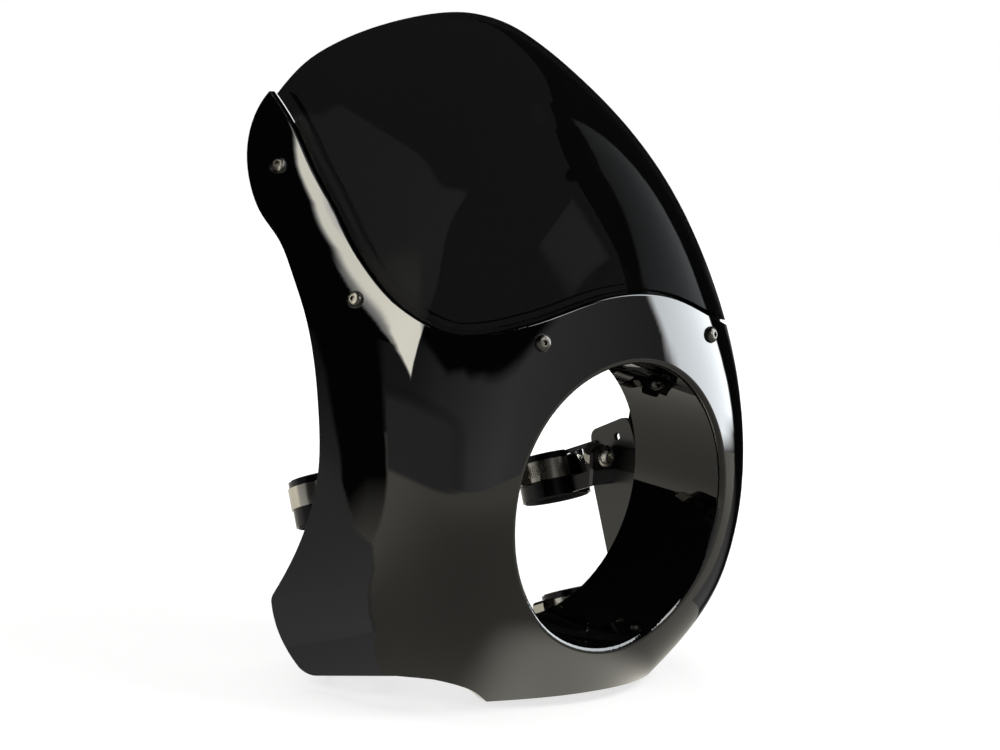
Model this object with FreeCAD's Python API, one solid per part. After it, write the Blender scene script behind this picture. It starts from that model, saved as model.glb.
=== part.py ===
import FreeCAD, Part
import math
import os

# Headlight cowl with a small windscreen for a round headlight between two fork tubes.
# Millimetres. Origin: centre of the headlight hole. X to the side, Y to the rear, Z up.

os.makedirs("parts", exist_ok=True)
Vec = FreeCAD.Vector
ORIGIN = Vec(0, 0, 0)
X_AXIS = Vec(1, 0, 0)
Y_AXIS = Vec(0, 1, 0)
Z_AXIS = Vec(0, 0, 1)

# Driving sizes
HOLE_R = 83.5            # headlight hole and bore of the collar
COLLAR_LENGTH = 72.0
COLLAR_WALL = 3.0
COLLAR_TILT = 2.0        # degrees, the hole looks slightly down
LIP_R = 3.5              # rounding from the skin into the hole
SHELL_WALL = 3.0
EDGE_R = 1.1             # rounding along the window opening
SCREEN_T = 3.0
SCREEN_GAP = 2.3         # open line between screen and shell
FLANGE_WIDTH = 23.0      # hidden edge of the screen behind the shell
FLANGE_SEAT = 0.3        # between the back of the shell and the flange
FLANGE_BACK = SHELL_WALL + FLANGE_SEAT + SCREEN_T
FLANGE_TOP_Z = 206.0     # the flange ends here, below the shell's ears
EAR_MARGIN = 4.5
CHIN_REAR = 62.0         # the lower edge follows the front view ahead of this
CHIN_TOP = -80.0
INNER_POINT = Vec(0, 150, 0)    # a line inside the cowl that the skin faces away from
INNER_LOW = -60.0
INNER_HIGH = 120.0

FORK_R = 19.5
FORK_SPACING = 186.0
FORK_RAKE = 22.0
FORK_POINT = Vec(FORK_SPACING / 2, COLLAR_LENGTH + 82.1, -13.9)
CLAMP_PITCH = 88.0       # from the upper to the lower clamp along the fork
SLEEVE_T = 1.2           # rubber between fork tube and strap
STRAP_T = 1.5
STRAP_TOP = 11.3         # heights along the fork, from the middle of the clamp
STRAP_BOTTOM = -16.0
BAND_T = 0.9
BAND_TOP = 7.5
BAND_WIDTH = 12.7

PLATE_T = 3.0
PLATE_X = 88.5           # inner face of the bracket plate
PLATE_BACK = 39.5        # rear edge ahead of the fork axis
EAR_Y = COLLAR_LENGTH + 19.5   # front face of the mount lug's ear
EAR_T = 3.0
LUG_SCREW_X = 76.6
LUG_SCREW_Z = 9.2
LUG_LOW = 0.6
LUG_HIGH = 13.8
LUG_INNER_X = 66.0
LUG_T = 3.0
FOOT_END = 2.4           # behind the rear rim of the collar

# Bracket plate, raked with the fork: zero is the fork axis at the middle of the upper clamp,
# Y ahead of it is negative and Z runs up along the fork.
PLATE_IN = PLATE_X - FORK_SPACING / 2
PLATE_OUT = PLATE_IN + PLATE_T
PLATE_OUTLINE = (       # distance ahead of the axis, height, corner radius
    (PLATE_BACK, STRAP_TOP, 0.0),
    (45.4, STRAP_TOP, 0.0),
    (46.6, 18.2, 6.0),
    (81.0, 20.0, 6.5),
    (82.6, 2.0, 8.0),
    (61.0, STRAP_BOTTOM - CLAMP_PITCH, 8.0),
    (PLATE_BACK, STRAP_BOTTOM - CLAMP_PITCH, 3.0),
)
TOOL_HOLE = (68.4, 9.3)  # six-sided hole, ahead of the axis and height
TOOL_HOLE_WIDTH = 4.6
FLANGE_LOW = -9.5        # folded front edge of the plate, behind the lug
FLANGE_IN_X = 70.0
TONGUE_END = 51.0        # the strap runs this far ahead of the axis along the plate
WINDOW_FIT = 1.1         # round the band in the passage of the strap
SLEEVE_OVER = 0.8
SLEEVE_OUT_R = FORK_R + SLEEVE_T
STRAP_OUT_R = SLEEVE_OUT_R + STRAP_T
BAND_OUT_R = STRAP_OUT_R + BAND_T
BAND_BOTTOM = BAND_TOP - BAND_WIDTH
HOUSING_ANGLE = 193.0    # from the outer side, over the front, to the inner side
HOUSING_LONG = 13.5
HOUSING_OUT = 6.6
HOUSING_TALL = 14.2
WORM_R = 2.6
WORM_FIT = 0.15
WORM_HEAD = 7.0
SLOT_ANGLES = (150.0, 153.6, 157.2, 160.8, 164.4, 168.0, 171.6)
SLOT_WIDTH = 0.9
SLOT_TALL = 7.5

# Screw through lug and bracket
M8_R = 4.0
M8_CLEAR = 0.25
M8_HEAD_R = 7.0
M8_HEAD_H = 4.4
M8_KEY = 5.0             # across flats
M8_NUT_WIDTH = 13.0
M8_NUT_H = 6.5
M8_REACH = 14.5

# Screws through shell and screen flange
M5_R = 2.5
M5_CLEAR = 0.25
M5_HEAD_R = 4.75
M5_HEAD_H = 2.75
M5_KEY = 3.0             # across flats
M5_NUT_WIDTH = 8.0
M5_NUT_H = 5.0
M5_REACH = 13.5
WASHER_R = 5.0
WASHER_T = 0.8
SPOT_DEPTH = 0.3         # flat seat for washer and nut in the curved walls
SEAT_FIT = 0.3
THREAD_FIT = 0.05
SCREW_SPOTS = ((-126, 177, 181), (-122, 104, 110.6), (-68.7, 5.3, 97.1))

# Half of the guide net of the outer skin: rows from the top of the screen to the chin,
# each from the centre line round to the rear edge of the flank.
SKIN_ROWS = (
    ((0, 202, 277), (33, 205, 276), (65, 213, 274), (96, 224, 270), (120, 238, 277), (133, 260, 293)),
    ((0, 158, 281), (26, 161, 278), (53, 169, 267), (82, 183, 253), (114, 206, 247), (138, 248, 248)),
    ((0, 117, 270), (22, 120, 265), (46, 130, 252), (75, 147, 232), (111, 179, 215), (146, 230, 195)),
    ((0, 78, 250), (24, 82, 245), (48, 94, 231), (75, 116, 207), (110, 155, 183), (157, 214, 167)),
    ((0, 42, 226), (30, 47, 221), (59, 62, 205), (83, 89, 178), (114, 133, 153), (166, 201, 145)),
    ((0, 14, 193), (39, 20, 188), (75, 37, 173), (100, 65, 146), (118, 112, 122), (163, 188, 119)),
    ((0, -1, 148), (46, 4, 144), (89, 20, 131), (119, 44, 111), (123, 92, 88), (146, 171, 84)),
    ((0, -5, 92), (50, -3, 89), (96, 6, 80), (129, 26, 66), (129, 77, 48), (134, 166, 32)),
    ((0, -8, 31), (51, -7, 29), (98, -2, 24), (131, 14, 15), (127, 70, 3), (121, 179, -14)),
    ((0, -8, -28), (48, -6, -29), (94, -1, -32), (127, 12, -37), (129, 72, -44), (140, 192, -61)),
    ((0, -4, -76), (42, -1, -77), (83, 7, -80), (116, 25, -83), (133, 86, -89), (175, 200, -101)),
    ((0, 7, -111), (32, 12, -112), (64, 27, -114), (96, 56, -119), (118, 113, -128), (170, 206, -135)),
)

DEGREE = 3


def knots(count):
    spans = count - DEGREE
    values = [float(i) for i in range(spans + 1)]
    repeats = [1] * (spans + 1)
    repeats[0] = DEGREE + 1
    repeats[-1] = DEGREE + 1
    return values, repeats


def nodes(count):
    """Parameters on the skin that belong to its guide points."""
    spans = count - DEGREE
    line = [0.0] * (DEGREE + 1) + [float(i) for i in range(1, spans)] + [float(spans)] * (DEGREE + 1)
    return [sum(line[i + 1:i + 1 + DEGREE]) / DEGREE for i in range(count)]


def net_surface(net):
    u_knots, u_mults = knots(len(net))
    v_knots, v_mults = knots(len(net[0]))
    surface = Part.BSplineSurface()
    surface.buildFromPolesMultsKnots(net, u_mults, v_mults, u_knots, v_knots, False, False, DEGREE, DEGREE)
    return surface


def full_net():
    net = []
    for row in SKIN_ROWS:
        left = [Vec(-x, y, z) for x, y, z in reversed(row[1:])]
        right = [Vec(x, y, z) for x, y, z in row]
        net.append(left + right)
    return net


SKIN_NET = full_net()
SKIN = net_surface(SKIN_NET)


def skin_normal(u, v):
    normal = SKIN.normal(u, v)
    point = SKIN.value(u, v)
    inside = INNER_POINT + Vec(0, 0, min(max(point.z, INNER_LOW), INNER_HIGH))
    if normal.dot(point - inside) < 0:
        normal = normal * -1
    return normal


def skin_at(depth):
    """The skin moved inwards by depth."""
    if depth == 0:
        return SKIN
    u_nodes = nodes(len(SKIN_NET))
    v_nodes = nodes(len(SKIN_NET[0]))
    net = []
    for i, row in enumerate(SKIN_NET):
        net.append([pole - skin_normal(u_nodes[i], v_nodes[j]) * depth for j, pole in enumerate(row)])
    return net_surface(net)


def slab(near, far):
    """Solid sheet between two depths under the skin."""
    outer = skin_at(near)
    inner = skin_at(far)
    faces = [outer.toShape(), inner.toShape()]
    u_end = outer.bounds()[1]
    v_end = outer.bounds()[3]
    for cut in (("u", 0.0), ("u", u_end), ("v", 0.0), ("v", v_end)):
        if cut[0] == "u":
            pair = (outer.uIso(cut[1]).toShape(), inner.uIso(cut[1]).toShape())
        else:
            pair = (outer.vIso(cut[1]).toShape(), inner.vIso(cut[1]).toShape())
        faces.append(Part.makeRuledSurface(pair[0], pair[1]))
    sheet = Part.makeShell(faces)
    sheet.sewShape()
    solid = Part.Solid(sheet)
    if solid.Volume < 0:
        solid.reverse()
    return solid


def shifted(points, distance):
    """Guide points moved to the left of their direction of travel."""
    moved = []
    last = len(points) - 1
    for i, point in enumerate(points):
        before = points[max(i - 1, 0)]
        after = points[min(i + 1, last)]
        along = (after - before).normalize()
        side = Vec(-along.y, along.x, 0)
        moved.append(point + side * distance)
    return moved


def spline(points):
    curve = Part.BSplineCurve()
    curve.interpolate(points)
    return curve.toShape()


def side_view(point):
    return Vec(-FAR, point.x, point.y)


def front_view(point):
    return Vec(point.x, -FAR, point.y)


def flat(pairs):
    return [Vec(a, b, 0) for a, b in pairs]


FAR = 320.0

# Window edge of the shell: seen from the side along the flank, and from the front over the hole.
FLANK_LINE = flat(((-30, 99.5), (10, 99.5), (32, 99.7), (47, 102), (63, 106.4), (82, 113.8), (100.3, 125.2),
                   (120, 141.8), (140, 161.8), (160, 181), (181, 204.6), (199, 222.6), (225, 249)))
ARCH_HALF = ((0, 123.8), (30, 120.6), (50, 115), (69, 108.8), (82.5, 105), (96.6, 101.2), (106, 99.8), (130, 99.3))
ARCH_LINE = flat([(-x, z) for x, z in reversed(ARCH_HALF[1:])] + list(ARCH_HALF))

# Rear edge of the flank from the ear down, then the straight lower edges.
REAR_LINE = flat(((196, 231), (202, 207), (197.7, 188.4), (185, 167.5), (171.7, 152.5), (157.4, 139.4),
                  (144.4, 120.6), (134.3, 101.4), (126.8, 79.5), (122.2, 54), (121.2, 30), (123.6, 5),
                  (127.2, -14), (130.4, -31), (134, -46.5), (138, -60.5)))
LOW_CORNERS = flat(((140.6, -68.5), (117.5, -111.2), (62, -101.2), (50, -100.4), (-60, -100.4)))
LOW_CORNER_R = (6.0, 9.0)
CHIN_HALF = ((0, -135), (40, -130), (62, -119), (73, -111), (81, -106.2), (88, -103.4), (95, -101.4), (103, -99.8),
             (112, -98))


# Rear edge of the screen seen from above.
SCREEN_END_HALF = ((0, 163), (14, 163.8), (30, 167.2), (52, 174.6), (75, 182.3), (95, 187.9), (116, 195.4), (140, 206))


def screen_prism():
    """Everything ahead of the screen's rear edge."""
    half = flat(SCREEN_END_HALF)
    points = [Vec(-p.x, p.y, -FAR) for p in reversed(half[1:])] + [Vec(p.x, p.y, -FAR) for p in half]
    frame = Part.makePolygon([points[-1], Vec(points[-1].x, -FAR, -FAR), Vec(points[0].x, -FAR, -FAR), points[0]])
    return Part.Face(Part.Wire([spline(points)] + frame.Edges)).extrude(Vec(0, 0, 2 * FAR))


def window_prism(shift):
    """Everything inside the window opening, its edge moved inwards by shift."""
    flank = shifted(FLANK_LINE, shift)
    arch = shifted(ARCH_LINE, shift)
    flank_pts = [side_view(p) for p in flank]
    edge = spline(flank_pts)
    high = [side_view(Vec(flank[-1].x, FAR, 0)), side_view(Vec(flank[0].x, FAR, 0))]
    frame = Part.makePolygon([flank_pts[-1], high[0], high[1], flank_pts[0]])
    side = Part.Face(Part.Wire([edge] + frame.Edges)).extrude(Vec(2 * FAR, 0, 0))
    arch_pts = [front_view(p) for p in arch]
    edge = spline(arch_pts)
    high = [front_view(Vec(arch[-1].x, FAR, 0)), front_view(Vec(arch[0].x, FAR, 0))]
    frame = Part.makePolygon([arch_pts[-1], high[0], high[1], arch_pts[0]])
    front = Part.Face(Part.Wire([edge] + frame.Edges)).extrude(Vec(0, 2 * FAR, 0))
    return side.common(front)


def flank_prism(shift):
    """Everything ahead of the rear edge and above the side's lower edge."""
    rear = shifted(REAR_LINE, -shift)
    points = [side_view(p) for p in rear]
    low = [side_view(p) for p in LOW_CORNERS]
    rest = Part.makePolygon([points[-1]] + low + [side_view(Vec(-60, FAR, 0)), side_view(Vec(150, FAR, 0)), points[0]])
    body = Part.Face(Part.Wire([spline(points)] + rest.Edges)).extrude(Vec(2 * FAR, 0, 0))
    for corner, radius in zip(low, LOW_CORNER_R):
        near = [e for e in body.Edges if abs(e.BoundBox.XLength - 2 * FAR) < 1
                and math.hypot(e.CenterOfMass.y - corner.y, e.CenterOfMass.z - corner.z) < 0.01]
        body = body.makeFillet(radius, near)
    return body


def chin_prism():
    """Everything above the front view's lower edge."""
    half = [front_view(p) for p in flat(CHIN_HALF)]
    mirrored = [Vec(-p.x, p.y, p.z) for p in reversed(half[1:])]
    points = mirrored + half
    side_x = points[-1].x
    frame = Part.makePolygon([points[-1], front_view(Vec(side_x, FAR, 0)), front_view(Vec(-side_x, FAR, 0)),
                              points[0]])
    return Part.Face(Part.Wire([spline(points)] + frame.Edges)).extrude(Vec(0, 2 * FAR, 0))


def collar_turned(shape):
    shape.rotate(ORIGIN, X_AXIS, COLLAR_TILT)
    return shape


def box(x0, x1, y0, y1, z0, z1):
    return Part.makeBox(x1 - x0, y1 - y0, z1 - z0, Vec(x0, y0, z0))


def ring(inner_r, outer_r, low, high):
    outer = Part.makeCylinder(outer_r, high - low, Vec(0, 0, low))
    return outer.cut(Part.makeCylinder(inner_r, high - low, Vec(0, 0, low)))


def cylinder_y(radius, start, end):
    return Part.makeCylinder(radius, end - start, Vec(0, start, 0), Y_AXIS)


def skin_frame(spot):
    """Placement on the skin nearest to a spot, Z pointing out."""
    u, v = SKIN.parameter(Vec(*spot))
    point = SKIN.value(u, v)
    turn = FreeCAD.Rotation(Z_AXIS, skin_normal(u, v))
    return FreeCAD.Placement(point, turn)


def mirrored(shape):
    return shape.mirror(ORIGIN, X_AXIS)


def save(name, shape):
    if shape.ShapeType == "Compound" and len(shape.Solids) == 1:
        shape = shape.Solids[0]
    print(name, shape.ShapeType, len(shape.Solids), shape.isValid(), round(shape.Volume / 1000, 2), "cm3")
    shape.exportStep("parts/" + name + ".step")




def hexagon(width, height, base):
    """Upright six-sided prism, width across flats."""
    corner_r = width / math.sqrt(3)
    points = [Vec(corner_r * math.cos(math.radians(60 * i)), corner_r * math.sin(math.radians(60 * i)), base)
              for i in range(7)]
    return Part.Face(Part.makePolygon(points)).extrude(Vec(0, 0, height))


def button_screw(radius, head_r, head_h, key, reach):
    """Round-headed screw, the head standing on the plane at zero."""
    flat_r = key * 0.75
    dome = Part.Arc(Vec(head_r, 0, head_h * 0.18), Vec(head_r * 0.86, 0, head_h * 0.68), Vec(flat_r, 0, head_h))
    outline = [
        Part.makeLine(Vec(0, 0, -reach), Vec(radius - 0.4, 0, -reach)),
        Part.makeLine(Vec(radius - 0.4, 0, -reach), Vec(radius, 0, -reach + 0.4)),
        Part.makeLine(Vec(radius, 0, -reach + 0.4), Vec(radius, 0, 0)),
        Part.makeLine(Vec(radius, 0, 0), Vec(head_r, 0, 0)),
        Part.makeLine(Vec(head_r, 0, 0), Vec(head_r, 0, head_h * 0.18)),
        dome.toShape(),
        Part.makeLine(Vec(flat_r, 0, head_h), Vec(0, 0, head_h)),
        Part.makeLine(Vec(0, 0, head_h), Vec(0, 0, -reach)),
    ]
    body = Part.Face(Part.Wire(outline)).revolve(ORIGIN, Z_AXIS, 360)
    if body.ShapeType != "Solid":
        body = Part.Solid(body)
    return body.cut(hexagon(key, head_h, head_h * 0.4))


def nut(width, height, bore_r):
    """Nut hanging under the plane at zero."""
    body = hexagon(width, height, -height)
    rounding = Part.makeCone(width * 0.52, width * 0.62, height, Vec(0, 0, -height))
    return body.common(rounding).cut(Part.makeCylinder(bore_r, height, Vec(0, 0, -height)))


def every_spot():
    for spot in SCREW_SPOTS:
        for side in (1, -1):
            yield (spot[0] * side, spot[1], spot[2])


def at_spots(shape):
    placed = []
    for spot in every_spot():
        one = shape.copy()
        one.Placement = skin_frame(spot).multiply(one.Placement)
        placed.append(one)
    return placed




def bore_edges(body, radius, y_low, y_high):
    """Round edges on the collar's wall between two distances along its axis."""
    back = FreeCAD.Placement(ORIGIN, FreeCAD.Rotation(X_AXIS, -COLLAR_TILT))
    found = []
    for edge in body.Edges:
        first, last = edge.ParameterRange
        points = [back.multVec(edge.valueAt(first + (last - first) * k / 6)) for k in range(7)]
        if all(abs(math.hypot(p.x, p.z) - radius) < 0.05 and y_low < p.y < y_high for p in points):
            found.append(edge)
    return found


def window_edges(body, window):
    """Edges where the window opening meets the outer skin."""
    skin_face = SKIN.toShape()
    found = []
    for edge in body.Edges:
        first, last = edge.ParameterRange
        points = [Part.Vertex(edge.valueAt(first + (last - first) * k / 4)) for k in (1, 2, 3)]
        if all(p.distToShape(skin_face)[0] < 0.02 and min(f.distToShape(p)[0] for f in window.Faces) < 0.02
               for p in points):
            found.append(edge)
    return found


def make_shell():
    window = window_prism(0)
    front_low = box(-FAR, FAR, -FAR, CHIN_REAR, -FAR, CHIN_TOP)
    keep = flank_prism(0).fuse(chin_prism().common(front_low))
    body = slab(0, SHELL_WALL).cut(window).common(keep)
    collar = collar_turned(cylinder_y(HOLE_R + COLLAR_WALL, -30, COLLAR_LENGTH))
    collar = collar.cut(slab(-45, SHELL_WALL / 2))
    body = body.fuse(collar).cut(collar_turned(cylinder_y(HOLE_R, -60, FAR)))
    body = body.makeFillet(LIP_R, bore_edges(body, HOLE_R, -15, 15))
    body = body.makeFillet(EDGE_R, window_edges(body, window))
    drill = Part.makeCylinder(M5_R + M5_CLEAR, 12, Vec(0, 0, -8))
    spot = Part.makeCylinder(WASHER_R + SEAT_FIT, 3, Vec(0, 0, -SPOT_DEPTH))
    for tool in at_spots(drill.fuse(spot)):
        body = body.cut(tool)
    return body


def make_screen():
    step = SCREEN_GAP + SCREEN_T
    block = slab(0, FLANGE_BACK).common(window_prism(SCREEN_GAP)).common(screen_prism())
    pocket = slab(SCREEN_T, FLANGE_BACK + 3).common(window_prism(step))
    block = block.cut(pocket)
    edge = slab(SHELL_WALL + FLANGE_SEAT, FLANGE_BACK).common(window_prism(-FLANGE_WIDTH))
    edge = edge.cut(window_prism(SCREEN_GAP + 1)).common(flank_prism(EAR_MARGIN))
    edge = edge.common(Part.makeBox(2 * FAR, 2 * FAR, FAR + FLANGE_TOP_Z, Vec(-FAR, -FAR, -FAR)))
    body = block.fuse(edge)
    drill = Part.makeCylinder(M5_R + M5_CLEAR, 12, Vec(0, 0, -10))
    spot = Part.makeCylinder(M5_NUT_WIDTH * 0.62 + SEAT_FIT, 4, Vec(0, 0, -FLANGE_BACK + SPOT_DEPTH - 4))
    for tool in at_spots(drill.fuse(spot)):
        body = body.cut(tool)
    return body


save("cowl_shell", make_shell())
save("windscreen", make_screen())
screws = at_spots(button_screw(M5_R, M5_HEAD_R, M5_HEAD_H, M5_KEY, M5_REACH).translated(
    Vec(0, 0, WASHER_T - SPOT_DEPTH)))
washers = at_spots(ring(M5_R + THREAD_FIT, WASHER_R, -SPOT_DEPTH, WASHER_T - SPOT_DEPTH))
nuts = at_spots(nut(M5_NUT_WIDTH, M5_NUT_H, M5_R + THREAD_FIT).translated(Vec(0, 0, SPOT_DEPTH - FLANGE_BACK)))
for i in range(len(screws)):
    save("screen_screw_" + str(i + 1), screws[i])
    save("screen_washer_" + str(i + 1), washers[i])
    save("screen_nut_" + str(i + 1), nuts[i])




def on_fork(shape, height=0.0):
    shape = shape.copy()
    shape.translate(Vec(0, 0, height))
    shape.rotate(ORIGIN, X_AXIS, -FORK_RAKE)
    shape.translate(FORK_POINT)
    return shape


def make_sleeve():
    low = STRAP_BOTTOM - SLEEVE_OVER
    high = STRAP_TOP + SLEEVE_OVER
    return ring(FORK_R, SLEEVE_OUT_R, low, high).cut(box(PLATE_IN, PLATE_OUT + 2, -FORK_R * 2, 0, low, high))


def make_strap():
    body = ring(SLEEVE_OUT_R, STRAP_OUT_R, STRAP_BOTTOM, STRAP_TOP)
    body = body.cut(box(PLATE_IN, PLATE_OUT + 2, -FORK_R * 2, 0, STRAP_BOTTOM, STRAP_TOP))
    tongue = box(PLATE_IN - STRAP_T, PLATE_IN, -TONGUE_END, -FORK_R * 0.9, STRAP_BOTTOM, STRAP_TOP)
    ends = [e for e in tongue.Edges if e.BoundBox.XLength > STRAP_T * 0.9 and abs(e.CenterOfMass.y + TONGUE_END) < 0.01]
    tongue = tongue.makeFillet(2.0, ends)
    tongue = tongue.cut(Part.makeCylinder(SLEEVE_OUT_R, FAR, Vec(0, 0, -FAR / 2)))
    root = -math.sqrt(STRAP_OUT_R ** 2 - (STRAP_T - PLATE_IN) ** 2)
    passage = box(PLATE_IN - STRAP_T - 1, PLATE_IN + 1, -PLATE_BACK + 1.5, root,
                  BAND_BOTTOM - WINDOW_FIT, BAND_TOP + WINDOW_FIT)
    return body.fuse(tongue.cut(passage)).removeSplitter()


def turned(shape, angle):
    """Move a detail from the outer side round the fork axis."""
    shape = shape.copy()
    shape.rotate(ORIGIN, Z_AXIS, -angle)
    return shape


def band_middle():
    return (BAND_TOP + BAND_BOTTOM) / 2


def worm_axis_r():
    return BAND_OUT_R + HOUSING_OUT / 2 + 0.3


def make_band():
    body = ring(STRAP_OUT_R, BAND_OUT_R, BAND_BOTTOM, BAND_TOP)
    middle = band_middle()
    housing = box(STRAP_OUT_R + 0.2, BAND_OUT_R + HOUSING_OUT, -HOUSING_LONG / 2, HOUSING_LONG / 2,
                  middle - HOUSING_TALL / 2, middle + HOUSING_TALL / 2)
    crown = [e for e in housing.Edges if e.BoundBox.YLength > HOUSING_LONG * 0.9
             and e.CenterOfMass.x > BAND_OUT_R + 1]
    housing = housing.makeFillet(3.0, crown).cut(Part.makeCylinder(STRAP_OUT_R, FAR, Vec(0, 0, -FAR / 2)))
    body = body.fuse(turned(housing, HOUSING_ANGLE))
    worm_hole = Part.makeCylinder(WORM_R + WORM_FIT, HOUSING_LONG * 2, Vec(worm_axis_r(), -HOUSING_LONG, middle),
                                  Y_AXIS)
    body = body.cut(turned(worm_hole, HOUSING_ANGLE))
    slot = box(STRAP_OUT_R + BAND_T / 2, BAND_OUT_R + 1, -SLOT_WIDTH / 2, SLOT_WIDTH / 2,
               middle - SLOT_TALL / 2, middle + SLOT_TALL / 2)
    for angle in SLOT_ANGLES:
        body = body.cut(turned(slot, angle))
    return body


def make_worm():
    middle = band_middle()
    half = HOUSING_LONG / 2
    seat = Vec(worm_axis_r(), -half - 3.8, middle)
    worm = Part.makeCylinder(WORM_R, HOUSING_LONG + 4.8, seat, Y_AXIS)
    head = hexagon(WORM_HEAD, 3.6, 0)
    head = head.common(Part.makeCone(WORM_HEAD * 0.5, WORM_HEAD * 0.62, 3.6))
    head = head.cut(box(-WORM_HEAD, WORM_HEAD, -0.5, 0.5, -1, 1.4))
    head.rotate(ORIGIN, X_AXIS, -90)
    head.translate(seat)
    return turned(worm.fuse(head), HOUSING_ANGLE)


def make_bracket():
    points = [Vec(PLATE_IN, -ahead, high) for ahead, high, corner_r in PLATE_OUTLINE]
    plate = Part.Face(Part.makePolygon(points + points[:1])).extrude(Vec(PLATE_T, 0, 0))
    for point, row in zip(points, PLATE_OUTLINE):
        if row[2] > 0:
            corner = [e for e in plate.Edges if e.BoundBox.XLength > PLATE_T * 0.9
                      and math.hypot(e.CenterOfMass.y - point.y, e.CenterOfMass.z - point.z) < 0.01]
            plate = plate.makeFillet(row[2], corner)
    tool = hexagon(TOOL_HOLE_WIDTH, PLATE_T * 3, -PLATE_T)
    tool.rotate(ORIGIN, Y_AXIS, 90)
    tool.translate(Vec(PLATE_IN, -TOOL_HOLE[0], TOOL_HOLE[1]))
    plate = on_fork(plate.cut(tool))
    flange = box(FLANGE_IN_X, PLATE_X + 1, EAR_Y + EAR_T, EAR_Y + EAR_T + PLATE_T, FLANGE_LOW, LUG_HIGH - 0.6)
    drill = Part.makeCylinder(M8_R + M8_CLEAR, FAR, Vec(LUG_SCREW_X, 0, LUG_SCREW_Z), Y_AXIS)
    return plate.fuse(flange.cut(drill)).removeSplitter()


def make_lug():
    ear = box(LUG_INNER_X, PLATE_X, EAR_Y, EAR_Y + EAR_T, LUG_LOW, LUG_HIGH)
    inner = [e for e in ear.Edges if e.BoundBox.YLength > EAR_T * 0.9 and abs(e.CenterOfMass.x - LUG_INNER_X) < 0.01]
    ear = ear.makeFillet(2.5, inner)
    ear = ear.cut(Part.makeCylinder(M8_R + M8_CLEAR, FAR, Vec(LUG_SCREW_X, 0, LUG_SCREW_Z), Y_AXIS))
    leg = box(PLATE_X - LUG_T, PLATE_X, COLLAR_LENGTH + 0.8, EAR_Y + EAR_T, LUG_LOW, LUG_HIGH + 1.2)
    foot = box(PLATE_X - LUG_T, PLATE_X + LUG_T + 1, COLLAR_LENGTH - 14, COLLAR_LENGTH + FOOT_END, LUG_LOW, LUG_HIGH + 1.2)
    foot = foot.cut(collar_turned(cylinder_y(HOLE_R + COLLAR_WALL, 0, COLLAR_LENGTH)))
    foot = foot.cut(collar_turned(cylinder_y(HOLE_R + 1, 0, FAR)))
    return ear.fuse(leg).fuse(foot).removeSplitter()


def facing_front(shape, y):
    shape = shape.copy()
    shape.rotate(ORIGIN, X_AXIS, 90)
    shape.translate(Vec(LUG_SCREW_X, y, LUG_SCREW_Z))
    return shape


def save_pair(name, shape):
    save(name + "_right", shape)
    save(name + "_left", mirrored(shape))


save_pair("fork_bracket", make_bracket())
save_pair("mount_lug", make_lug())
save_pair("lug_screw", facing_front(button_screw(M8_R, M8_HEAD_R, M8_HEAD_H, M8_KEY, M8_REACH), EAR_Y))
save_pair("lug_nut", facing_front(nut(M8_NUT_WIDTH, M8_NUT_H, M8_R + THREAD_FIT), EAR_Y + EAR_T + PLATE_T))
for place, height in (("upper", 0), ("lower", -CLAMP_PITCH)):
    save_pair("fork_sleeve_" + place, on_fork(make_sleeve(), height))
    save_pair("fork_strap_" + place, on_fork(make_strap(), height))
    save_pair("hose_clamp_" + place, on_fork(make_band(), height))
    save_pair("clamp_screw_" + place, on_fork(make_worm(), height))
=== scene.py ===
import bpy
import bmesh
import math
import numpy as np
from mathutils import Matrix, Vector
from mathutils.kdtree import KDTree


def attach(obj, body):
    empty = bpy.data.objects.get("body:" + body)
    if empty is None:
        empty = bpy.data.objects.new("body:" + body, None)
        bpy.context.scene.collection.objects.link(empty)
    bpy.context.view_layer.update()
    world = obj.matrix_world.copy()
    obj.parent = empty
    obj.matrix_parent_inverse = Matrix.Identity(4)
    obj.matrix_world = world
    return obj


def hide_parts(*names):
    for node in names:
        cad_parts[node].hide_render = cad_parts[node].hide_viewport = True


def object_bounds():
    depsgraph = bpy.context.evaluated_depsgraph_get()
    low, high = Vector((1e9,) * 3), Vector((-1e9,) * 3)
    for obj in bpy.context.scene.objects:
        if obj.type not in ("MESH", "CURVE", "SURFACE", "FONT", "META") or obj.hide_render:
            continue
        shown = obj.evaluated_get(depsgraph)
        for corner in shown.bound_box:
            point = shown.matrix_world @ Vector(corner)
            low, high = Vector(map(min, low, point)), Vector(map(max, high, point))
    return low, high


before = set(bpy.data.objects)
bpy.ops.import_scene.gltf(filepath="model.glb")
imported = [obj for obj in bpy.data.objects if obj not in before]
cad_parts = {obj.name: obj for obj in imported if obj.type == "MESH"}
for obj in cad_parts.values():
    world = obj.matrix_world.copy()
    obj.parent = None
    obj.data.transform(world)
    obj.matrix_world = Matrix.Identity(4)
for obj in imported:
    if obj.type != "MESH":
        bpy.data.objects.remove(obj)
CAD_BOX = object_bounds()
MM = 0.001
scene = bpy.context.scene

# Colours and nodes.


def linear(hex_colour):
    """sRGB hex to the linear RGBA that shaders take."""
    values = [int(hex_colour[i:i + 2], 16) / 255 for i in (1, 3, 5)]
    values = [v / 12.92 if v <= 0.04045 else ((v + 0.055) / 1.055) ** 2.4 for v in values]
    return (*values, 1.0)


def bare_tree(owner):
    """The emptied node tree of a material or world."""
    owner.use_nodes = True
    owner.node_tree.nodes.clear()
    return owner.node_tree


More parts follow.
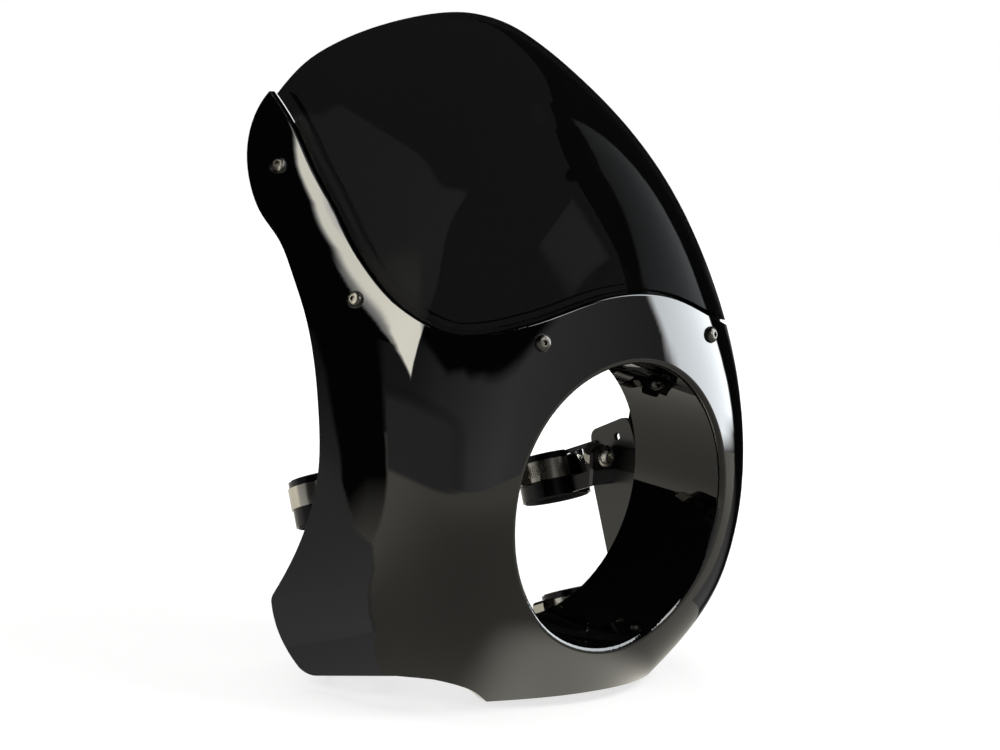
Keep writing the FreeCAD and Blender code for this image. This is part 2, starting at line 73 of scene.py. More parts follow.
def add(tree, kind, settings=None, **sockets):
    """Adds a node with its settings, and gives its sockets values or links; n0, n1 and so on go by number."""
    made = tree.nodes.new(kind)
    for name, value in (settings or {}).items():
        setattr(made, name, value)
    for name, value in sockets.items():
        key = int(name[1:]) if name[0] == "n" and name[1:].isdigit() else name.replace("_", " ")
        if isinstance(value, bpy.types.NodeSocket):
            tree.links.new(value, made.inputs[key])
        else:
            made.inputs[key].default_value = value
    return made


# Finishes of the pieces. Grain sizes and depths are in millimetres.


def grain(tree, size_mm, detail, stretch=(1, 1, 1)):
    """Cloudy pattern on Object coordinates whose spots are about size_mm across."""
    where = add(tree, "ShaderNodeTexCoord")
    drawn = add(tree, "ShaderNodeMapping", Vector=where.outputs["Object"], Scale=stretch)
    spots = add(tree, "ShaderNodeTexNoise", Vector=drawn.outputs[0], Scale=1 / (size_mm * MM), Detail=detail)
    return spots.outputs[0]


def coated(name, colour, grain_mm, depth_mm, detail=2.0, **values):
    """A moulded, formed or enamelled surface: one colour over a shallow relief."""
    made = bpy.data.materials.new(name)
    tree = bare_tree(made)
    relief = add(tree, "ShaderNodeBump", Height=grain(tree, grain_mm, detail), Distance=depth_mm * MM)
    shader = add(tree, "ShaderNodeBsdfPrincipled", Base_Color=linear(colour), Normal=relief.outputs[0],
                 **values)
    add(tree, "ShaderNodeOutputMaterial", Surface=shader.outputs[0])
    return made


def worked_metal(name, colour, grain_mm, smoothest, roughest, detail=3.0, stretch=(1, 1, 1)):
    """A bare or plated metal whose polish varies from spot to spot between two roughness values."""
    made = bpy.data.materials.new(name)
    tree = bare_tree(made)
    polish = add(tree, "ShaderNodeMapRange", Value=grain(tree, grain_mm, detail, stretch), To_Min=smoothest,
                 To_Max=roughest)
    shader = add(tree, "ShaderNodeBsdfPrincipled", Base_Color=linear(colour), Metallic=1.0,
                 Roughness=polish.outputs[0])
    add(tree, "ShaderNodeOutputMaterial", Surface=shader.outputs[0])
    return made


# Moulded ABS under clear gloss lacquer: a deep black that mirrors the studio sharply, with a hint of the flow
# that sprayed lacquer keeps.
lacquered_abs = coated("lacquered_abs_black", "#030303", 14, 0.004, detail=1.0, Roughness=0.02, IOR=1.46)

# Smoked acrylic, polished and heat formed: nearly black, a little light comes through it, and the formed
# sheet waves faintly. Its index of refraction is low, to match its dim reflections in the photograph.
smoked_acrylic = coated("smoked_acrylic", "#161616", 30, 0.012, detail=1.0, Roughness=0.0, IOR=1.046,
                        Transmission_Weight=0.75)

# Zinc-nickel plating on turned button heads: a dull dark silver with blurred lights.
plated_steel = worked_metal("plated_steel", "#4C4A46", 0.5, 0.24, 0.42)

# Moulded nylon: matt black, lightly pitted.
nylon_black = coated("moulded_nylon_black", "#141414", 0.4, 0.02, Roughness=0.55)

# Zinc plate on pressed nuts: pale silver, uneven in its shine.
zinc_nut = worked_metal("zinc_plated_nut", "#A8A69E", 0.8, 0.26, 0.45)

# Grey metallic enamel on cut sheet: half gloss, with the orange-peel relief of sprayed enamel.
bracket_enamel = coated("grey_enamel_sheet", "#535353", 0.9, 0.015, Metallic=0.6, Roughness=0.34)

# Black enamel on folded strip: the same relief, with hardly any shine.
lug_enamel = coated("black_enamel_strip", "#070707", 0.9, 0.015, Roughness=0.45, Specular_IOR_Level=0.25)

# Moulded rubber: matt, dark grey, grained all over.
sleeve_rubber = coated("moulded_rubber", "#1A1A1A", 0.6, 0.03, Roughness=0.75)

# Blackened steel strip: dark and half glossy, with short marks from the rolls.
blackened_strip = worked_metal("blackened_rolled_strip", "#2A2A2C", 1.5, 0.14, 0.28, 2.0, (1, 1, 8))

# Stainless strip: bright and warm, with fine marks that run round the band as it was rolled.
stainless_band = worked_metal("rolled_stainless_band", "#C8C4BA", 0.6, 0.12, 0.26, 2.0, (1, 1, 12))

# Turned steel, left bright: sharp lights with a fine change in polish.
turned_steel = worked_metal("turned_bright_steel", "#B9B7B0", 0.5, 0.16, 0.3)

FINISHES = (
    ("cowl_shell", lacquered_abs), ("windscreen", smoked_acrylic), ("screen_screw", plated_steel),
    ("screen_washer", nylon_black), ("screen_nut", zinc_nut), ("fork_bracket", bracket_enamel),
    ("mount_lug", lug_enamel), ("lug_screw", turned_steel), ("lug_nut", zinc_nut),
    ("fork_sleeve", sleeve_rubber), ("fork_strap", blackened_strip), ("hose_clamp", stainless_band),
    ("clamp_screw", turned_steel),
)
for name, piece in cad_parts.items():
    chosen = next(finish for start, finish in FINISHES if name.startswith(start))
    piece.data.materials.clear()
    piece.data.materials.append(chosen)

# The outer skin, for exact normals on the shell and the screen.

# Right half of the skin's guide net in millimetres, top row first, the same as in the part's source.
SKIN_ROWS = (
    ((0, 202, 277), (33, 205, 276), (65, 213, 274), (96, 224, 270), (120, 238, 277), (133, 260, 293)),
    ((0, 158, 281), (26, 161, 278), (53, 169, 267), (82, 183, 253), (114, 206, 247), (138, 248, 248)),
    ((0, 117, 270), (22, 120, 265), (46, 130, 252), (75, 147, 232), (111, 179, 215), (146, 230, 195)),
    ((0, 78, 250), (24, 82, 245), (48, 94, 231), (75, 116, 207), (110, 155, 183), (157, 214, 167)),
    ((0, 42, 226), (30, 47, 221), (59, 62, 205), (83, 89, 178), (114, 133, 153), (166, 201, 145)),
    ((0, 14, 193), (39, 20, 188), (75, 37, 173), (100, 65, 146), (118, 112, 122), (163, 188, 119)),
    ((0, -1, 148), (46, 4, 144), (89, 20, 131), (119, 44, 111), (123, 92, 88), (146, 171, 84)),
    ((0, -5, 92), (50, -3, 89), (96, 6, 80), (129, 26, 66), (129, 77, 48), (134, 166, 32)),
    ((0, -8, 31), (51, -7, 29), (98, -2, 24), (131, 14, 15), (127, 70, 3), (121, 179, -14)),
    ((0, -8, -28), (48, -6, -29), (94, -1, -32), (127, 12, -37), (129, 72, -44), (140, 192, -61)),
    ((0, -4, -76), (42, -1, -77), (83, 7, -80), (116, 25, -83), (133, 86, -89), (175, 200, -101)),
    ((0, 7, -111), (32, 12, -112), (64, 27, -114), (96, 56, -119), (118, 113, -128), (170, 206, -135)),
)
half_net = np.array(SKIN_ROWS, float)
SKIN_NET = np.concatenate([half_net[:, 1:][:, ::-1] * [-1, 1, 1], half_net], axis=1)
U_END = SKIN_NET.shape[0] - 3
V_END = SKIN_NET.shape[1] - 3

# Depth and heights of places well inside the cowl, which tell the way outwards.
INSIDE_DEPTH = 150.0
INSIDE_HEIGHTS = (-60, 120)

HOLE_R = 83.5
COLLAR_TILT = math.radians(2.0)

# How near a point is to the skin or the bore to lie on it, and how far a face may lean from its normal.
ON_SKIN_MM = 0.05
ON_BORE_MM = 0.03
LEAN = math.radians(24)
SAME_POINT_MM = 0.002
SHARP_EDGE = math.radians(28)


def basis(count, t):
    """Cubic B-spline weights of a clamped even knot line, and their slopes."""
    knots = np.array([0.0] * 3 + list(range(count - 2)) + [count - 3.0] * 3)
    t = np.clip(np.atleast_1d(t), 0, count - 3 - 1e-9)
    weight = ((t[:, None] >= knots[:-1]) & (t[:, None] < knots[1:])).astype(float)
    for degree in (1, 2, 3):
        lower = weight
        span_a = knots[degree:-1] - knots[:-1 - degree]
        span_b = knots[degree + 1:] - knots[1:-degree]
        share_a = np.divide(t[:, None] - knots[:-1 - degree], span_a, where=span_a > 0,
                            out=np.zeros((len(t), len(span_a))))
        share_b = np.divide(knots[degree + 1:] - t[:, None], span_b, where=span_b > 0,
                            out=np.zeros((len(t), len(span_b))))
        weight = share_a * lower[:, :-1] + share_b * lower[:, 1:]
    slope_a = np.divide(3.0, span_a, where=span_a > 0, out=np.zeros_like(span_a))
    slope_b = np.divide(3.0, span_b, where=span_b > 0, out=np.zeros_like(span_b))
    return weight, slope_a * lower[:, :-1] - slope_b * lower[:, 1:]


def skin_points(u, v):
    """Points of the skin at paired parameters, its two slopes there and its outward normals."""
    weight_u, slope_u = basis(SKIN_NET.shape[0], u)
    weight_v, slope_v = basis(SKIN_NET.shape[1], v)
    at = np.einsum("pi,ijk,pj->pk", weight_u, SKIN_NET, weight_v)
    along_u = np.einsum("pi,ijk,pj->pk", slope_u, SKIN_NET, weight_v)
    along_v = np.einsum("pi,ijk,pj->pk", weight_u, SKIN_NET, slope_v)
    normal = np.cross(along_u, along_v)
    normal /= np.linalg.norm(normal, axis=1)[:, None]
    inside = at * [0, 0, 1]
    inside[:, 1] = INSIDE_DEPTH
    inside[:, 2] = np.clip(at[:, 2], *INSIDE_HEIGHTS)
    normal *= np.sign(((at - inside) * normal).sum(1))[:, None]
    return at, along_u, along_v, normal


def nearest_on_skin(points, seeds_each_way=140, rounds=6):
    """Foot point and normal on the skin for each point, by the nearest seed and then least squares."""
    u_line = np.linspace(0, U_END, seeds_each_way)
    v_line = np.linspace(0, V_END, seeds_each_way)
    u_seeds, v_seeds = np.meshgrid(u_line, v_line, indexing="ij")
    seeds = skin_points(u_seeds.ravel(), v_seeds.ravel())[0]
    tree = KDTree(len(seeds))
    for i, seed in enumerate(seeds):
        tree.insert(seed, i)
    tree.balance()
    first = np.array([tree.find(p)[1] for p in points])
    u = u_seeds.ravel()[first]
    v = v_seeds.ravel()[first]
    for _ in range(rounds):
        at, along_u, along_v, _ = skin_points(u, v)
        gap = points - at
        uu = (along_u ** 2).sum(1)
        vv = (along_v ** 2).sum(1)
        uv = (along_u * along_v).sum(1)
        gap_u = (gap * along_u).sum(1)
        gap_v = (gap * along_v).sum(1)
        area = np.maximum(uu * vv - uv * uv, 1e-9)
        u = np.clip(u + (vv * gap_u - uv * gap_v) / area, 0, U_END)
        v = np.clip(v + (uu * gap_v - uv * gap_u) / area, 0, V_END)
    at, _, _, normal = skin_points(u, v)
    return at, normal


def skin_normals(points):
    """Which points lie on the skin, and its normal at the foot of each."""
    foot, normal = nearest_on_skin(points)
    return np.linalg.norm(points - foot, axis=1) < ON_SKIN_MM, normal


def bore_normals(points):
    """Which points lie on the collar's bore, and the normal from each to its axis."""
    tilt = np.array([[1, 0, 0], [0, math.cos(COLLAR_TILT), math.sin(COLLAR_TILT)],
                     [0, -math.sin(COLLAR_TILT), math.cos(COLLAR_TILT)]])
    level = points @ tilt.T
    radius = np.hypot(level[:, 0], level[:, 2])
    inward = -level * [1, 0, 1] / np.maximum(radius, 1)[:, None]
    return np.abs(radius - HOLE_R) < ON_BORE_MM, inward @ tilt


def merged_copy(node, name):
    """Copy of a CAD node's mesh with its points merged, smooth but for its sharp edges."""
    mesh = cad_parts[node].data.copy()
    mesh.name = name
    work = bmesh.new()
    work.from_mesh(mesh)
    bmesh.ops.remove_doubles(work, verts=work.verts, dist=SAME_POINT_MM * MM)
    for face in work.faces:
        face.smooth = True
    for edge in work.edges:
        edge.smooth = len(edge.link_faces) == 2 and edge.calc_face_angle(0) < SHARP_EDGE
    work.to_mesh(mesh)
    work.free()
    if mesh.attributes.get("custom_normal"):
        mesh.attributes.remove(mesh.attributes["custom_normal"])
    return mesh


def read_all(items, key, width, kind=np.float32):
    """One property of all of a mesh's items, in rows of width values."""
    values = np.zeros(len(items) * width, kind)
    items.foreach_get(key, values)
    return values.reshape(-1, width)


def true_skin_copy(node, name):
    """Piece that replaces a CAD node: the same form, with exact normals at its corners on skin and bore."""
    mesh = merged_copy(node, name)
    points = read_all(mesh.vertices, "co", 3).astype(float) / MM
    corners = read_all(mesh.corner_normals, "vector", 3).astype(float)
    owner = read_all(mesh.loops, "vertex_index", 1, np.int32).ravel()
    sides = read_all(mesh.polygons, "loop_total", 1, np.int32).ravel()
    face_normal = np.repeat(read_all(mesh.polygons, "normal", 3).astype(float), sides, axis=0)
    for on, exact in (skin_normals(points), bore_normals(points)):
        wanted = exact[owner]
        use = on[owner] & ((face_normal * wanted).sum(1) > math.cos(LEAN))
        corners[use] = wanted[use]
    mesh.normals_split_custom_set([tuple(normal) for normal in corners])
    piece = bpy.data.objects.new(name, mesh)
    scene.collection.objects.link(piece)
    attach(piece, "root")
    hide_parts(node)
    return piece


shell = true_skin_copy("cowl_shell", "cowl_shell_moulding")
screen = true_skin_copy("windscreen", "windscreen_pane")

# Camera. The offset is where the part's origin lies from it: across, down and away, in metres.

CAMERA_TURN = math.radians(-43.25)
CAMERA_RISE = math.radians(7.68)
CAMERA_ROLL = math.radians(-3.74)
CAMERA_OFFSET = (0.07082, 0.07599, 1.50938)
FOCAL_PX = 2609.22
IMAGE_WIDTH = 1000
SENSOR = 36.0

back = Vector((math.sin(CAMERA_TURN) * math.cos(CAMERA_RISE), -math.cos(CAMERA_TURN) * math.cos(CAMERA_RISE),
               math.sin(CAMERA_RISE)))
right = (-back).cross(Vector((0, 0, 1))).normalized()
down = (-back).cross(right)
image_x = right * math.cos(CAMERA_ROLL) + down * math.sin(CAMERA_ROLL)
image_y = down * math.cos(CAMERA_ROLL) - right * math.sin(CAMERA_ROLL)
lens = bpy.data.cameras.new("camera")
lens.sensor_width = SENSOR
lens.lens = FOCAL_PX / IMAGE_WIDTH * SENSOR
lens.clip_start = 0.05
lens.clip_end = 50
camera = bpy.data.objects.new("camera", lens)
scene.collection.objects.link(camera)
across, below, away = CAMERA_OFFSET
place = back * away - image_x * across - image_y * below
camera.matrix_world = Matrix.Translation(place) @ Matrix((image_x, -image_y, back)).transposed().to_4x4()
scene.camera = camera

# Lamps, world and floor. They light the matt surfaces and make the white background.

WORLD_LIGHT = 0.25
LAMP_AIM = (0, 0.1, 0.08)
FLOOR_Z = CAD_BOX[0].z
FLOOR_R = 4.0
FLOOR_SIDES = 96

# The floor's own light for the camera, near the object and far from it, and the distances between which it
# rises.
SEEN_LIGHT = (0.72, 1.0)
SEEN_RISE = (0.3, 0.9)

# The same for the painted light that the lacquer mirrors of the floor, which ends at a circle.
MIRRORED_SHADE_AND_LIGHT = (0.58, 1.0)
MIRRORED_SHADE_FADE = (0.1, 1.1)
MIRRORED_R = 1.48
MIRRORED_MIDDLE = (0.0, -0.17, 0.0)
MIRRORED_TINT = "#FFFBEE"


def lamp(name, place, aim, sides, watts):
    """A square soft box that lights the object but isn't mirrored in it."""
    light = bpy.data.lights.new(name, "AREA")
    light.shape = "RECTANGLE"
    light.size, light.size_y = sides
    light.energy = watts
    made = bpy.data.objects.new(name, light)
    made.location = place
    made.rotation_euler = (Vector(aim) - Vector(place)).to_track_quat("-Z", "Y").to_euler()
    made.visible_glossy = False
    scene.collection.objects.link(made)


lamp("key_softbox", (1.3, -1.2, 1.7), LAMP_AIM, (1.2, 1.2), 32)
lamp("fill_softbox", (-1.8, -1.0, 1.0), LAMP_AIM, (1.4, 1.4), 20)
lamp("top_softbox", (0.1, 0.6, 2.2), (0, 0.1, 0), (1.8, 1.8), 22)

# The world is white for the rays that show the background, and dim for those that light the object.
world = bpy.data.worlds.new("studio")
scene.world = world
tree = bare_tree(world)
path = add(tree, "ShaderNodeLightPath")
direct = add(tree, "ShaderNodeMath", {"operation": "MAXIMUM"}, n0=path.outputs["Is Camera Ray"],
             n1=path.outputs["Is Glossy Ray"])
shows = add(tree, "ShaderNodeMath", {"operation": "MAXIMUM"}, n0=direct.outputs[0],
            n1=path.outputs["Is Transmission Ray"])
level = add(tree, "ShaderNodeMapRange", Value=shows.outputs[0], To_Min=WORLD_LIGHT, To_Max=1.0)
sky = add(tree, "ShaderNodeBackground", Color=(1, 1, 1, 1), Strength=level.outputs[0])
add(tree, "ShaderNodeOutputWorld", Surface=sky.outputs[0])


def stage_object(name, points, faces, material):
    """A mesh of the studio, which isn't part of the object."""
    mesh = bpy.data.meshes.new(name)
    mesh.from_pydata(points, [], faces)
    mesh.materials.append(material)
    made = bpy.data.objects.new(name, mesh)
    scene.collection.objects.link(made)
    return made


# Matt floor paint. It keeps the object's shadow, and its own light brings it up to white for the camera where
# no shadow falls. For the lacquer it shows a painted light of its own instead. That light is warmer, and
# darker towards the object as painted shade in place of the object's shadow on the floor.
floor_paint = bpy.data.materials.new("pale_floor")
tree = bare_tree(floor_paint)
path = add(tree, "ShaderNodeLightPath")
where = add(tree, "ShaderNodeTexCoord")
far = add(tree, "ShaderNodeVectorMath", {"operation": "LENGTH"}, n0=where.outputs["Object"])
rise = add(tree, "ShaderNodeMapRange", {"interpolation_type": "SMOOTHERSTEP"}, Value=far.outputs["Value"],
           From_Min=SEEN_RISE[0], From_Max=SEEN_RISE[1], To_Min=SEEN_LIGHT[0], To_Max=SEEN_LIGHT[1])
direct = add(tree, "ShaderNodeMath", {"operation": "MAXIMUM"}, n0=path.outputs["Is Camera Ray"],
             n1=path.outputs["Is Transmission Ray"])
level = add(tree, "ShaderNodeMath", {"operation": "MULTIPLY"}, n0=direct.outputs[0], n1=rise.outputs[0])
own_light = add(tree, "ShaderNodeEmission", Color=(1, 1, 1, 1), Strength=level.outputs[0])
matt = add(tree, "ShaderNodeBsdfDiffuse", Color=linear("#A6A6A5"))
seen = add(tree, "ShaderNodeAddShader", n0=matt.outputs[0], n1=own_light.outputs[0])
# Painted shade: the light that the lacquer mirrors of the floor is lower near the object, for the object's
# shadow.
fade = add(tree, "ShaderNodeMapRange", {"interpolation_type": "SMOOTHERSTEP"}, Value=far.outputs["Value"],
           From_Min=MIRRORED_SHADE_FADE[0], From_Max=MIRRORED_SHADE_FADE[1], To_Min=MIRRORED_SHADE_AND_LIGHT[0],
           To_Max=MIRRORED_SHADE_AND_LIGHT[1])
mirrored = add(tree, "ShaderNodeEmission", Color=linear(MIRRORED_TINT), Strength=fade.outputs[0])
inner = add(tree, "ShaderNodeMixShader", n0=path.outputs["Is Glossy Ray"], n1=seen.outputs[0],
            n2=mirrored.outputs[0])
apart = add(tree, "ShaderNodeVectorMath", {"operation": "DISTANCE"}, n0=where.outputs["Object"],
            n1=MIRRORED_MIDDLE)
beyond = add(tree, "ShaderNodeMath", {"operation": "GREATER_THAN"}, n0=apart.outputs["Value"], n1=MIRRORED_R)
unmirrored = add(tree, "ShaderNodeMath", {"operation": "MULTIPLY"}, n0=beyond.outputs[0],
                 n1=path.outputs["Is Glossy Ray"])
clear = add(tree, "ShaderNodeBsdfTransparent")
whole = add(tree, "ShaderNodeMixShader", n0=unmirrored.outputs[0], n1=inner.outputs[0], n2=clear.outputs[0])
add(tree, "ShaderNodeOutputMaterial", Surface=whole.outputs[0])

floor_turns = [2 * math.pi * i / FLOOR_SIDES for i in range(FLOOR_SIDES)]
floor_rim = [(FLOOR_R * math.cos(turn), FLOOR_R * math.sin(turn), 0) for turn in floor_turns]
floor = stage_object("floor", floor_rim, [tuple(range(FLOOR_SIDES))], floor_paint)
floor.location = (0, 0, FLOOR_Z)

# Cards that only glossy rays see, where the lacquer and the screen mirror lights, walls and black flags.

WARM = "#FFFCEC"
COOL = "#F5FBFF"
BLACK_LIGHT = 0.008

card_paint = bpy.data.materials.new("reflection_card")
tree = bare_tree(card_paint)
painted = add(tree, "ShaderNodeAttribute", {"attribute_name": "card_colour"})
glow = add(tree, "ShaderNodeEmission", Color=painted.outputs["Color"], Strength=1.0)
clear = add(tree, "ShaderNodeBsdfTransparent")
covered = add(tree, "ShaderNodeMixShader", n0=painted.outputs["Alpha"], n1=clear.outputs[0],
              n2=glow.outputs[0])
add(tree, "ShaderNodeOutputMaterial", Surface=covered.outputs[0])
card_paint.cycles.emission_sampling = "NONE"


def soft(value, edge, width):
    """0 before an edge and 1 past it, with a ramp of the given width."""
    return np.clip((value - edge) / width + 0.5, 0, 1)


def between(value, low, high, low_width, high_width):
    """1 between two soft edges."""
    return soft(value, low, low_width) * (1 - soft(value, high, high_width))


def along(line, at):
    """Value of an outline, given by its corner points, at each place."""
    places, values = np.transpose(line)
    return np.interp(at, places, values)


def inside_panel(az, el, corners, width):
    """1 for directions inside a convex panel with corners in azimuth and elevation, soft at its edges."""
    share = np.ones_like(az)
    for i, (az_a, el_a) in enumerate(corners):
        az_b, el_b = corners[(i + 1) % len(corners)]
        side = math.hypot(az_b - az_a, el_b - el_a)
        outside = ((az - az_a) * (el_b - el_a) - (el - el_a) * (az_b - az_a)) / side
        share = np.minimum(share, soft(-outside, 0, width))
    return share


def tinted(light, share, colour):
    """Light as three channels, white where the share is 0 and in the colour where it is 1."""
    return light[..., None] * (1 - share[..., None] * (1 - np.array(linear(colour)[:3])))


def painted_card(name, points, colour, cover, closed=False):
    """Grid of card with a colour and a cover at each point, left out where nothing is covered.

    A closed card's last column joins its first.
    """
    columns, rows = cover.shape
    faces = []
    for i in range(columns if closed else columns - 1):
        j = (i + 1) % columns
        for k in range(rows - 1):
            if cover[i, k] + cover[j, k] + cover[i, k + 1] + cover[j, k + 1] > 0:
                faces.append((i * rows + k, i * rows + k + 1, j * rows + k + 1, j * rows + k))
    made = stage_object(name, [tuple(point) for point in points.reshape(-1, 3)], faces, card_paint)
    paint = made.data.attributes.new("card_colour", "FLOAT_COLOR", "POINT")
    coat = np.concatenate([colour, cover[..., None]], -1)
    paint.data.foreach_set("color", coat.astype(np.float32).ravel())
    made.visible_camera = False
    made.visible_diffuse = False
    made.visible_transmission = False
    made.visible_volume_scatter = False
    made.visible_shadow = False


# Bowl of card round everything: a grey wall, a cool soft box to the right and a small one ahead, on black.
# Places on it are in degrees of azimuth, from straight ahead of the object towards its +X side, and of
# elevation.

BOWL_R = 25.0
BOWL_MIDDLE_Z = 0.08
WALL_TOP = ((-180, 19), (-86, 19.5), (-76, 21.5), (-60, 23.5), (-28, 21), (4, 14), (50, 9))
WALL_ENDS = (-130, 82)
WALL_LIGHT = 0.79

# What the wall's light loses for each degree to the left, to the right and upwards, and behind the object.
LOST_LEFT = 0.0041
LOST_RIGHT = 0.0125
RIGHT_FALL = (6, 51)
LOST_UP = 0.012
UP_FALL = (0, 30)
LOST_BEHIND = 0.43
BEHIND_FROM = -115

RIGHT_BOX = ((49, -1), (66, -6), (84, -2.5), (84, 10), (70.5, 67), (62, 64), (50, 55), (42, 45), (38, 35),
             (36, 25), (40, 15), (48, 6))
RIGHT_BOX_LIGHT = 10.5
FRONT_BOX = ((18, 14), (32, 15), (10, 44.5), (-10, 38))
FRONT_BOX_LIGHT = 12.0

# The grid is finer where edges lie.
az_line = np.concatenate([np.arange(-180, -135, 3), np.arange(-135, 30, 1), np.arange(30, 86, 0.5),
                          np.arange(86, 180, 3)])
el_line = np.concatenate([np.arange(-14, 0, 2), np.arange(0, 56, 0.5), np.arange(56, 89, 3)])
az, el = np.meshgrid(az_line, el_line, indexing="ij")
wall = WALL_LIGHT + LOST_LEFT * np.minimum(az, 0) - LOST_RIGHT * (np.clip(az, *RIGHT_FALL) - RIGHT_FALL[0])
wall = wall * (1 - LOST_UP * np.clip(el, *UP_FALL)) * (1 - LOST_BEHIND * soft(-az, -BEHIND_FROM, 30))
wall = wall * (1 - soft(el, along(WALL_TOP, az), 2.5)) * between(az, *WALL_ENDS, 1, 3)
right_box = inside_panel(az, el, RIGHT_BOX, 2.0)
front_box = inside_panel(az, el, FRONT_BOX, 2.5)
light = BLACK_LIGHT + np.clip(wall, 0, 1) + RIGHT_BOX_LIGHT * right_box + FRONT_BOX_LIGHT * front_box
turn = np.radians(az)
lift = np.radians(el)
points = np.stack([np.cos(lift) * np.sin(turn), -np.cos(lift) * np.cos(turn), np.sin(lift)], -1) * BOWL_R
points = points + [0, 0, BOWL_MIDDLE_Z]
painted_card("reflection_cards", points, tinted(light, right_box, COOL), np.ones_like(az), closed=True)

# Upright card beside the left flank, in millimetres. From front to back it holds the end of the wall, a warm
# soft box above it, a black flag whose edge the flank mirrors as a long line, and a grey panel. Each outline
# gives depth by height, but for the flag's foot, which gives height by depth.

LEFT_CARD_X = -180
LEFT_CARD_TOP = 345
BOX_FRONT = ((82, 90), (139, 91), (184, 95), (235, 121), (270, 133), (300, 136), (335, 137))
BOX_EDGE = ((83, 90), (95, 102), (102, 108), (115, 115), (128, 118.5), (152, 124), (180, 131), (200, 140),
            (224, 150.5), (237, 160), (246, 168), (252, 171), (260, 173), (271, 174), (290, 159), (318, 151),
            (335, 147))
BOX_FOOT = 81
BOX_TOP = 323
BOX_LIGHT = 15.0

# In front of this line the soft box is mirrored by the screen, which wants half of its light.
SCREEN_SIDE = ((118, 86), (150, 106), (181, 122), (212, 137), (240, 150), (255, 159), (290, 176))
SCREEN_SHARE = 0.5

WALL_EDGE = ((-10, 119), (28, 115), (60, 113.5), (109, 116.5))
WALL_END_FRONT = -25
WALL_END_FOOT = 6
WALL_END_TOP = 66
WALL_END_LIGHT = 0.44
WALL_END_FALL = 0.0012

FLAG_BEND = 106
FLAG_FOOT = ((112, -19), (140, -25), (167, -41))
FLAG_TOP = 165

# A black patch above the wall's end.
PATCH_FRONT = -58
PATCH_BACK = 92
PATCH_FOOT = 120
PATCH_TOP = 150

PANEL_EDGE = ((-136, 86), (-102, 88), (-75, 94), (-48, 106), (-34.5, 118), (-25.5, 142), (-12, 167),
              (-8, 167), (33, 154), (60, 146.5), (87, 142), (95, 150), (120, 230))
PANEL_TOP = 92
PANEL_LIGHT = ((-136, 0.62), (-100, 0.72), (-60, 0.62), (-30, 0.42), (0, 0.22), (60, 0.13), (90, 0.08))

y_line = np.concatenate([np.arange(-70, 85, 5), np.arange(85, 180, 0.9), np.arange(180, 222, 4)])
z_line = np.arange(FLOOR_Z / MM + 1, LEFT_CARD_TOP, 1.5)
y, z = np.meshgrid(y_line, z_line, indexing="ij")
box = between(y, along(BOX_FRONT, z), along(BOX_EDGE, z), 1.5, 4) * between(z, BOX_FOOT, BOX_TOP, 3, 6)
box_power = SCREEN_SHARE + (1 - SCREEN_SHARE) * soft(y, along(SCREEN_SIDE, z), 5)
wall_end = between(y, WALL_END_FRONT, along(WALL_EDGE, z), 80, 4)
wall_end = wall_end * between(z, WALL_END_FOOT, WALL_END_TOP, 3, 16)
flag_front = np.where(z > FLAG_BEND, along(BOX_EDGE, z), along(WALL_EDGE, z))
flag = soft(y, flag_front, 4) * between(z, along(FLAG_FOOT, y), FLAG_TOP, 44, 20)
patch = between(y, PATCH_FRONT, PATCH_BACK, 20, 4) * between(z, PATCH_FOOT, PATCH_TOP, 18, 10)
panel = soft(y, along(PANEL_EDGE, z), 3) * (1 - soft(z, PANEL_TOP, 8))
light = BLACK_LIGHT + along(PANEL_LIGHT, z) * panel + BOX_LIGHT * box_power * box
light = light + (WALL_END_LIGHT - WALL_END_FALL * y) * wall_end
points = np.stack([np.full_like(y, LEFT_CARD_X), y, z], -1) * MM
cover = np.max([flag, patch, box, wall_end, panel], axis=0)
painted_card("left_card", points, tinted(light, box * box_power ** 2, WARM), cover)

# Grey mat on the floor from that card to the flank, in millimetres.

MAT_OUTLINE = (((LEFT_CARD_X, 86), (LEFT_CARD_X, 220)), ((-100, 70), (-100, 220)))
MAT_LIGHT = 0.6
MAT_LIFT = 0.0006

mat = np.array(MAT_OUTLINE) * MM
points = np.concatenate([mat, np.full((2, 2, 1), FLOOR_Z + MAT_LIFT)], -1)
painted_card("grey_mat", points, np.full((2, 2, 3), MAT_LIGHT), np.ones((2, 2)))

# Upright card beside the right edge, in millimetres: black, with a little light towards the floor and the
# back.

RIGHT_CARD_X = 180
RIGHT_CARD_FRONT = ((10, -13.2), (70, -6))
RIGHT_CARD_BACK = 80
RIGHT_CARD_TOP = 142
FLOOR_GLOW = 0.3
FLOOR_GLOW_TOP = -45
FLOOR_GLOW_SLOPE = 2.4
BACK_GLOW = 0.15
BACK_GLOW_FROM = 48

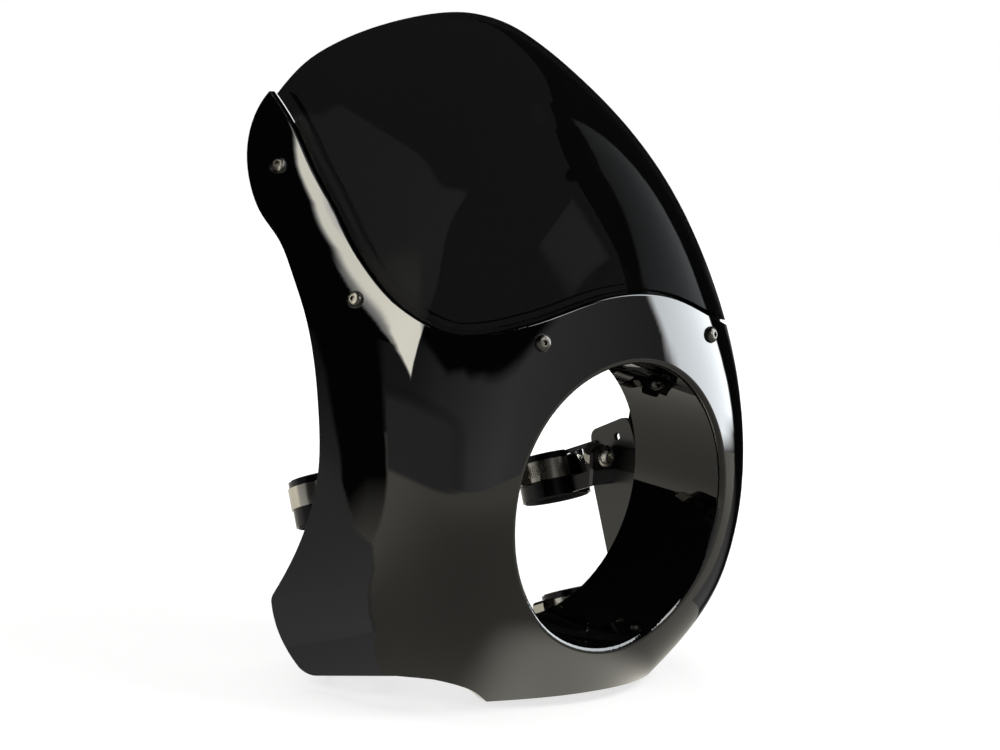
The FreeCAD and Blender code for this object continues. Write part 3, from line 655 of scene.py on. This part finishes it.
z_line = np.arange(FLOOR_Z / MM + 1, RIGHT_CARD_TOP + 8, 2.0)
y, z = np.meshgrid(np.arange(-34, 90, 2.0), z_line, indexing="ij")
cover = between(y, along(RIGHT_CARD_FRONT, z), RIGHT_CARD_BACK, 3, 10) * (1 - soft(z, RIGHT_CARD_TOP, 8))
floor_glow = 1 - soft(z, FLOOR_GLOW_TOP - FLOOR_GLOW_SLOPE * y, 60)
light = BLACK_LIGHT + FLOOR_GLOW * floor_glow + BACK_GLOW * soft(y, BACK_GLOW_FROM, 12)
points = np.stack([np.full_like(y, RIGHT_CARD_X), y, z], -1) * MM
painted_card("right_card", points, tinted(light, 0 * light, WARM), cover)

# Curved black flag to the right, from the floor up, in degrees of azimuth and metres.

FLAG_TURNS = (88, 122)
FLAG_COLUMNS = 25
FLAG_DISTANCE = 0.5
FLAG_HEIGHTS = (FLOOR_Z + 0.001, 0.4)

turn, height = np.meshgrid(np.radians(np.linspace(*FLAG_TURNS, FLAG_COLUMNS)), FLAG_HEIGHTS, indexing="ij")
points = np.stack([FLAG_DISTANCE * np.sin(turn), -FLAG_DISTANCE * np.cos(turn), height], -1)
painted_card("black_flag_right", points, np.full((*turn.shape, 3), BLACK_LIGHT), np.ones_like(turn))

# Small round light table on the floor under the front of the cowl, for the belt of light along its lower
# edge. Its light fades to that of the floor round it.

TABLE_R = 0.095
TABLE_PLACE = (-0.008, 0.012, FLOOR_Z + 0.001)
TABLE_LIGHT = 2.6
TABLE_FADE_FROM = 0.35
TABLE_STEP = 0.0025

table_line = np.arange(-TABLE_R - TABLE_STEP, TABLE_R + 2 * TABLE_STEP, TABLE_STEP)
x, y = np.meshgrid(table_line, table_line, indexing="ij")
radius = np.hypot(x, y)
fade = np.clip((radius / TABLE_R - TABLE_FADE_FROM) / (1 - TABLE_FADE_FROM), 0, 1)
fade = fade ** 3 * (fade * (6 * fade - 15) + 10)
light = TABLE_LIGHT + (MIRRORED_SHADE_AND_LIGHT[0] - TABLE_LIGHT) * fade
points = np.stack([x, y, 0 * x], -1) + TABLE_PLACE
cover = 1 - soft(radius, TABLE_R, TABLE_STEP)
painted_card("light_table", points, tinted(light, np.ones_like(x), MIRRORED_TINT), cover)

scene.view_settings.view_transform = "Standard"
